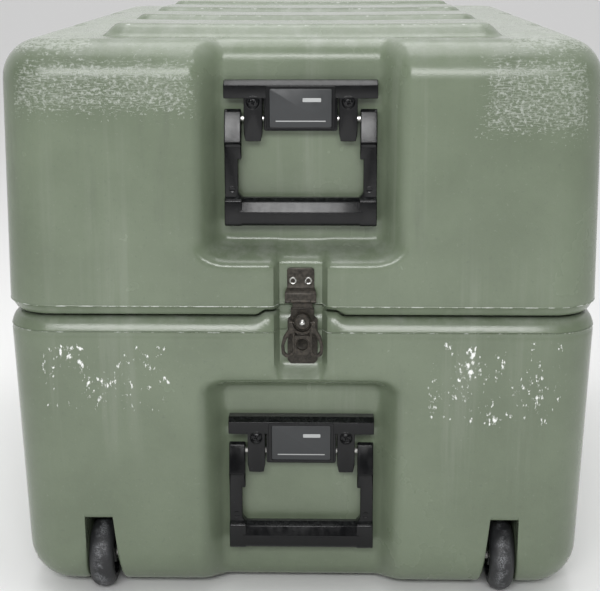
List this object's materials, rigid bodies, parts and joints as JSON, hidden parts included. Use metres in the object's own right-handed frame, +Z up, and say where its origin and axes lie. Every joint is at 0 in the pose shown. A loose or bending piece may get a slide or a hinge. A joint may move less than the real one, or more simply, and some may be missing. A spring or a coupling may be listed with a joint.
{
  "type": "hard equipment case",
  "caption": "Moulded plastic transport case with a lift-off lid, recessed swing handles at both ends, twist latches around the parting line and wheels at one end.",
  "frame": {"origin": "centre of the underside, on the surface the case stands on", "axes": "+Z up, +Y along the length away from the wheeled end, +X to the right when facing the wheeled end from outside"},
  "size_m": [0.6116, 0.8396, 0.596],
  "materials": {
    "green_shell": "sage green moulded polyethylene, worn satin",
    "black_plastic": "black satin moulded plastic",
    "gasket_rubber": "dull black foam rubber",
    "tyre_rubber": "scuffed black rubber",
    "black_oxide": "black oxide steel, worn bright at the edges",
    "bright_steel": "zinc plated steel"
  },
  "bodies": {
    "base": {"base_shell": "green_shell", "base_front_handle_bracket": "black_plastic", "base_front_handle_rod": "bright_steel", "base_front_handle_spring": "bright_steel", "base_back_handle_bracket": "black_plastic", "base_back_handle_rod": "bright_steel", "base_back_handle_spring": "bright_steel", "latch_front_plate": "black_oxide", "latch_back_plate": "black_oxide", "latch_right_near_plate": "black_oxide", "latch_right_far_plate": "black_oxide", "latch_left_near_plate": "black_oxide", "latch_left_far_plate": "black_oxide", "wheel_left_bolt": "bright_steel", "wheel_right_bolt": "bright_steel"},
    "lid": {"lid_shell": "green_shell", "lid_gasket": "gasket_rubber", "lid_front_handle_bracket": "black_plastic", "lid_front_handle_rod": "bright_steel", "lid_front_handle_spring": "bright_steel", "lid_back_handle_bracket": "black_plastic", "lid_back_handle_rod": "bright_steel", "lid_back_handle_spring": "bright_steel", "latch_front_keeper": "black_oxide", "latch_back_keeper": "black_oxide", "latch_right_near_keeper": "black_oxide", "latch_right_far_keeper": "black_oxide", "latch_left_near_keeper": "black_oxide", "latch_left_far_keeper": "black_oxide"},
    "lid_front_grip": {"lid_front_handle_grip": "black_plastic"},
    "base_front_grip": {"base_front_handle_grip": "black_plastic"},
    "lid_back_grip": {"lid_back_handle_grip": "black_plastic"},
    "base_back_grip": {"base_back_handle_grip": "black_plastic"},
    "latch_front_link_body": {"latch_front_link": "black_oxide"},
    "latch_front_hub_body": {"latch_front_hub": "black_oxide"},
    "latch_front_wing_body": {"latch_front_wing": "black_oxide"},
    "latch_back_link_body": {"latch_back_link": "black_oxide"},
    "latch_back_hub_body": {"latch_back_hub": "black_oxide"},
    "latch_back_wing_body": {"latch_back_wing": "black_oxide"},
    "latch_right_near_link_body": {"latch_right_near_link": "black_oxide"},
    "latch_right_near_hub_body": {"latch_right_near_hub": "black_oxide"},
    "latch_right_near_wing_body": {"latch_right_near_wing": "black_oxide"},
    "latch_right_far_link_body": {"latch_right_far_link": "black_oxide"},
    "latch_right_far_hub_body": {"latch_right_far_hub": "black_oxide"},
    "latch_right_far_wing_body": {"latch_right_far_wing": "black_oxide"},
    "latch_left_near_link_body": {"latch_left_near_link": "black_oxide"},
    "latch_left_near_hub_body": {"latch_left_near_hub": "black_oxide"},
    "latch_left_near_wing_body": {"latch_left_near_wing": "black_oxide"},
    "latch_left_far_link_body": {"latch_left_far_link": "black_oxide"},
    "latch_left_far_hub_body": {"latch_left_far_hub": "black_oxide"},
    "latch_left_far_wing_body": {"latch_left_far_wing": "black_oxide"},
    "wheel_left": {"wheel_left_tyre": "tyre_rubber", "wheel_left_hub": "black_plastic", "wheel_left_bush": "bright_steel"},
    "wheel_right": {"wheel_right_tyre": "tyre_rubber", "wheel_right_hub": "black_plastic", "wheel_right_bush": "bright_steel"}
  },
  "joints": [
    {"name": "lid_lift", "type": "slide", "parent": "base", "child": "lid", "axis": [0, 0, 1], "range_m": [0, 0.35]},
    {"name": "lid_front_handle_swing", "type": "hinge", "parent": "lid", "child": "lid_front_grip", "pos_m": [0, -0.387, 0.506], "axis": [-1, 0, 0], "range_deg": [0, 90], "stiffness_Nm_per_rad": 0.2, "springref_deg": -17.19},
    {"name": "base_front_handle_swing", "type": "hinge", "parent": "base", "child": "base_front_grip", "pos_m": [0, -0.387, 0.1585], "axis": [-1, 0, 0], "range_deg": [0, 90], "stiffness_Nm_per_rad": 0.2, "springref_deg": -17.19},
    {"name": "lid_back_handle_swing", "type": "hinge", "parent": "lid", "child": "lid_back_grip", "pos_m": [0, 0.387, 0.506], "axis": [1, 0, 0], "range_deg": [0, 90], "stiffness_Nm_per_rad": 0.2, "springref_deg": -17.19},
    {"name": "base_back_handle_swing", "type": "hinge", "parent": "base", "child": "base_back_grip", "pos_m": [0, 0.387, 0.1585], "axis": [1, 0, 0], "range_deg": [0, 90], "stiffness_Nm_per_rad": 0.2, "springref_deg": -17.19},
    {"name": "latch_front_turn", "type": "hinge", "parent": "base", "child": "latch_front_hub_body", "pos_m": [0.0018, -0.415, 0.3053], "axis": [0, -1, 0], "range_deg": [0, 180]},
    {"name": "latch_front_fold", "type": "hinge", "parent": "latch_front_hub_body", "child": "latch_front_wing_body", "pos_m": [0.0018, -0.4169, 0.3053], "axis": [-1, 0, 0], "range_deg": [0, 90]},
    {"name": "latch_front_draw", "type": "slide", "parent": "base", "child": "latch_front_link_body", "axis": [0, 0, 1], "range_m": [0, 0.007]},
    {"name": "latch_back_turn", "type": "hinge", "parent": "base", "child": "latch_back_hub_body", "pos_m": [-0.0018, 0.415, 0.3053], "axis": [0, 1, 0], "range_deg": [0, 180]},
    {"name": "latch_back_fold", "type": "hinge", "parent": "latch_back_hub_body", "child": "latch_back_wing_body", "pos_m": [-0.0018, 0.4169, 0.3053], "axis": [1, 0, 0], "range_deg": [0, 90]},
    {"name": "latch_back_draw", "type": "slide", "parent": "base", "child": "latch_back_link_body", "axis": [0, 0, 1], "range_m": [0, 0.007]},
    {"name": "latch_right_near_turn", "type": "hinge", "parent": "base", "child": "latch_right_near_hub_body", "pos_m": [0.301, -0.1332, 0.3053], "axis": [1, 0, 0], "range_deg": [0, 180]},
    {"name": "latch_right_near_fold", "type": "hinge", "parent": "latch_right_near_hub_body", "child": "latch_right_near_wing_body", "pos_m": [0.3029, -0.1332, 0.3053], "axis": [0, -1, 0], "range_deg": [0, 90]},
    {"name": "latch_right_near_draw", "type": "slide", "parent": "base", "child": "latch_right_near_link_body", "axis": [0, 0, 1], "range_m": [0, 0.007]},
    {"name": "latch_right_far_turn", "type": "hinge", "parent": "base", "child": "latch_right_far_hub_body", "pos_m": [0.301, 0.1368, 0.3053], "axis": [1, 0, 0], "range_deg": [0, 180]},
    {"name": "latch_right_far_fold", "type": "hinge", "parent": "latch_right_far_hub_body", "child": "latch_right_far_wing_body", "pos_m": [0.3029, 0.1368, 0.3053], "axis": [0, -1, 0], "range_deg": [0, 90]},
    {"name": "latch_right_far_draw", "type": "slide", "parent": "base", "child": "latch_right_far_link_body", "axis": [0, 0, 1], "range_m": [0, 0.007]},
    {"name": "latch_left_near_turn", "type": "hinge", "parent": "base", "child": "latch_left_near_hub_body", "pos_m": [-0.301, -0.1368, 0.3053], "axis": [-1, 0, 0], "range_deg": [0, 180]},
    {"name": "latch_left_near_fold", "type": "hinge", "parent": "latch_left_near_hub_body", "child": "latch_left_near_wing_body", "pos_m": [-0.3029, -0.1368, 0.3053], "axis": [0, 1, 0], "range_deg": [0, 90]},
    {"name": "latch_left_near_draw", "type": "slide", "parent": "base", "child": "latch_left_near_link_body", "axis": [0, 0, 1], "range_m": [0, 0.007]},
    {"name": "latch_left_far_turn", "type": "hinge", "parent": "base", "child": "latch_left_far_hub_body", "pos_m": [-0.301, 0.1332, 0.3053], "axis": [-1, 0, 0], "range_deg": [0, 180]},
    {"name": "latch_left_far_fold", "type": "hinge", "parent": "latch_left_far_hub_body", "child": "latch_left_far_wing_body", "pos_m": [-0.3029, 0.1332, 0.3053], "axis": [0, 1, 0], "range_deg": [0, 90]},
    {"name": "latch_left_far_draw", "type": "slide", "parent": "base", "child": "latch_left_far_link_body", "axis": [0, 0, 1], "range_m": [0, 0.007]},
    {"name": "wheel_left_spin", "type": "hinge", "parent": "base", "child": "wheel_left", "pos_m": [-0.212, -0.377, 0.0375], "axis": [1, 0, 0], "continuous": true},
    {"name": "wheel_right_spin", "type": "hinge", "parent": "base", "child": "wheel_right", "pos_m": [0.212, -0.377, 0.0375], "axis": [1, 0, 0], "continuous": true}
  ],
  "couplings": [
    {"joint": "latch_front_draw", "follows": "latch_front_turn", "m_per_rad": 0.002228},
    {"joint": "latch_back_draw", "follows": "latch_back_turn", "m_per_rad": 0.002228},
    {"joint": "latch_right_near_draw", "follows": "latch_right_near_turn", "m_per_rad": 0.002228},
    {"joint": "latch_right_far_draw", "follows": "latch_right_far_turn", "m_per_rad": 0.002228},
    {"joint": "latch_left_near_draw", "follows": "latch_left_near_turn", "m_per_rad": 0.002228},
    {"joint": "latch_left_far_draw", "follows": "latch_left_far_turn", "m_per_rad": 0.002228}
  ]
}
